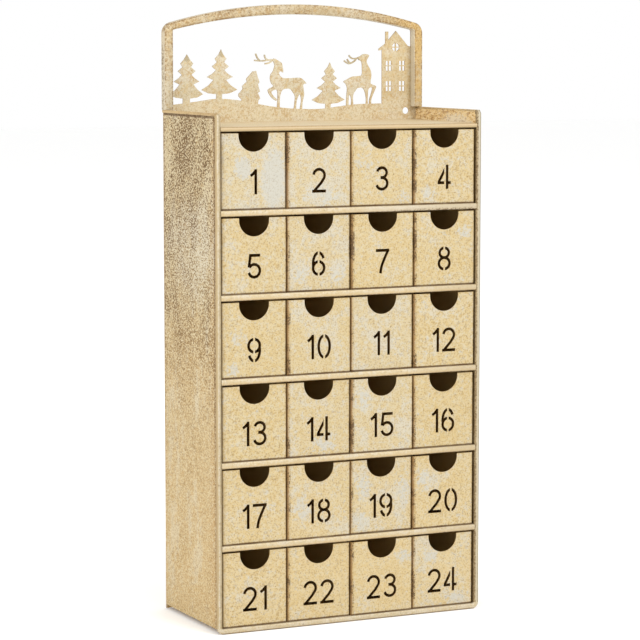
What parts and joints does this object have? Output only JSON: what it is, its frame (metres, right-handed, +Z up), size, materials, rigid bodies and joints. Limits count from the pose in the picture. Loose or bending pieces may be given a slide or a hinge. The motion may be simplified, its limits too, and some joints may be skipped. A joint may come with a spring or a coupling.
{
  "type": "advent calendar",
  "caption": "Sheet-metal advent calendar: upright cabinet of small numbered drawers with finger notches, under a cut-out winter scene in an arched rim.",
  "frame": {"origin": "centre of the bounding box's base, on the surface that the cabinet stands on", "axes": "+Z up, -Y towards the front where the drawers open, +X to the right seen from the front"},
  "size_m": [0.2, 0.095, 0.4227],
  "materials": {
    "cabinet": "distressed gold lacquer, dark brown speckle",
    "beads": "pale gold lacquer, worn along the edges",
    "scene": "gold lacquer, brown speckle and worn edges",
    "drawers": "distressed champagne gold lacquer with pale patches",
    "drawer_bases": "dark, worn lacquer"
  },
  "bodies": {
    "cabinet": {"left_side": "cabinet", "right_side": "cabinet", "bottom_panel": "beads", "top_panel": "beads", "back_panel": "scene", "arch_rim": "scene", "shelf_1": "beads", "shelf_2": "beads", "shelf_3": "beads", "shelf_4": "beads", "shelf_5": "beads"},
    "drawer_01": {"drawer_01_wall": "drawers", "drawer_01_base": "drawer_bases"},
    "drawer_02": {"drawer_02_wall": "drawers", "drawer_02_base": "drawer_bases"},
    "drawer_03": {"drawer_03_wall": "drawers", "drawer_03_base": "drawer_bases"},
    "drawer_04": {"drawer_04_wall": "drawers", "drawer_04_base": "drawer_bases"},
    "drawer_05": {"drawer_05_wall": "drawers", "drawer_05_base": "drawer_bases"},
    "drawer_06": {"drawer_06_wall": "drawers", "drawer_06_base": "drawer_bases"},
    "drawer_07": {"drawer_07_wall": "drawers", "drawer_07_base": "drawer_bases"},
    "drawer_08": {"drawer_08_wall": "drawers", "drawer_08_base": "drawer_bases"},
    "drawer_09": {"drawer_09_wall": "drawers", "drawer_09_base": "drawer_bases"},
    "drawer_10": {"drawer_10_wall": "drawers", "drawer_10_base": "drawer_bases"},
    "drawer_11": {"drawer_11_wall": "drawers", "drawer_11_base": "drawer_bases"},
    "drawer_12": {"drawer_12_wall": "drawers", "drawer_12_base": "drawer_bases"},
    "drawer_13": {"drawer_13_wall": "drawers", "drawer_13_base": "drawer_bases"},
    "drawer_14": {"drawer_14_wall": "drawers", "drawer_14_base": "drawer_bases"},
    "drawer_15": {"drawer_15_wall": "drawers", "drawer_15_base": "drawer_bases"},
    "drawer_16": {"drawer_16_wall": "drawers", "drawer_16_base": "drawer_bases"},
    "drawer_17": {"drawer_17_wall": "drawers", "drawer_17_base": "drawer_bases"},
    "drawer_18": {"drawer_18_wall": "drawers", "drawer_18_base": "drawer_bases"},
    "drawer_19": {"drawer_19_wall": "drawers", "drawer_19_base": "drawer_bases"},
    "drawer_20": {"drawer_20_wall": "drawers", "drawer_20_base": "drawer_bases"},
    "drawer_21": {"drawer_21_wall": "drawers", "drawer_21_base": "drawer_bases"},
    "drawer_22": {"drawer_22_wall": "drawers", "drawer_22_base": "drawer_bases"},
    "drawer_23": {"drawer_23_wall": "drawers", "drawer_23_base": "drawer_bases"},
    "drawer_24": {"drawer_24_wall": "drawers", "drawer_24_base": "drawer_bases"}
  },
  "joints": [
    {"name": "drawer_01_slide", "type": "slide", "parent": "cabinet", "child": "drawer_01", "axis": [0, -1, 0], "range_m": [0, 0.065]},
    {"name": "drawer_02_slide", "type": "slide", "parent": "cabinet", "child": "drawer_02", "axis": [0, -1, 0], "range_m": [0, 0.065]},
    {"name": "drawer_03_slide", "type": "slide", "parent": "cabinet", "child": "drawer_03", "axis": [0, -1, 0], "range_m": [0, 0.065]},
    {"name": "drawer_04_slide", "type": "slide", "parent": "cabinet", "child": "drawer_04", "axis": [0, -1, 0], "range_m": [0, 0.065]},
    {"name": "drawer_05_slide", "type": "slide", "parent": "cabinet", "child": "drawer_05", "axis": [0, -1, 0], "range_m": [0, 0.065]},
    {"name": "drawer_06_slide", "type": "slide", "parent": "cabinet", "child": "drawer_06", "axis": [0, -1, 0], "range_m": [0, 0.065]},
    {"name": "drawer_07_slide", "type": "slide", "parent": "cabinet", "child": "drawer_07", "axis": [0, -1, 0], "range_m": [0, 0.065]},
    {"name": "drawer_08_slide", "type": "slide", "parent": "cabinet", "child": "drawer_08", "axis": [0, -1, 0], "range_m": [0, 0.065]},
    {"name": "drawer_09_slide", "type": "slide", "parent": "cabinet", "child": "drawer_09", "axis": [0, -1, 0], "range_m": [0, 0.065]},
    {"name": "drawer_10_slide", "type": "slide", "parent": "cabinet", "child": "drawer_10", "axis": [0, -1, 0], "range_m": [0, 0.065]},
    {"name": "drawer_11_slide", "type": "slide", "parent": "cabinet", "child": "drawer_11", "axis": [0, -1, 0], "range_m": [0, 0.065]},
    {"name": "drawer_12_slide", "type": "slide", "parent": "cabinet", "child": "drawer_12", "axis": [0, -1, 0], "range_m": [0, 0.065]},
    {"name": "drawer_13_slide", "type": "slide", "parent": "cabinet", "child": "drawer_13", "axis": [0, -1, 0], "range_m": [0, 0.065]},
    {"name": "drawer_14_slide", "type": "slide", "parent": "cabinet", "child": "drawer_14", "axis": [0, -1, 0], "range_m": [0, 0.065]},
    {"name": "drawer_15_slide", "type": "slide", "parent": "cabinet", "child": "drawer_15", "axis": [0, -1, 0], "range_m": [0, 0.065]},
    {"name": "drawer_16_slide", "type": "slide", "parent": "cabinet", "child": "drawer_16", "axis": [0, -1, 0], "range_m": [0, 0.065]},
    {"name": "drawer_17_slide", "type": "slide", "parent": "cabinet", "child": "drawer_17", "axis": [0, -1, 0], "range_m": [0, 0.065]},
    {"name": "drawer_18_slide", "type": "slide", "parent": "cabinet", "child": "drawer_18", "axis": [0, -1, 0], "range_m": [0, 0.065]},
    {"name": "drawer_19_slide", "type": "slide", "parent": "cabinet", "child": "drawer_19", "axis": [0, -1, 0], "range_m": [0, 0.065]},
    {"name": "drawer_20_slide", "type": "slide", "parent": "cabinet", "child": "drawer_20", "axis": [0, -1, 0], "range_m": [0, 0.065]},
    {"name": "drawer_21_slide", "type": "slide", "parent": "cabinet", "child": "drawer_21", "axis": [0, -1, 0], "range_m": [0, 0.065]},
    {"name": "drawer_22_slide", "type": "slide", "parent": "cabinet", "child": "drawer_22", "axis": [0, -1, 0], "range_m": [0, 0.065]},
    {"name": "drawer_23_slide", "type": "slide", "parent": "cabinet", "child": "drawer_23", "axis": [0, -1, 0], "range_m": [0, 0.065]},
    {"name": "drawer_24_slide", "type": "slide", "parent": "cabinet", "child": "drawer_24", "axis": [0, -1, 0], "range_m": [0, 0.065]}
  ]
}
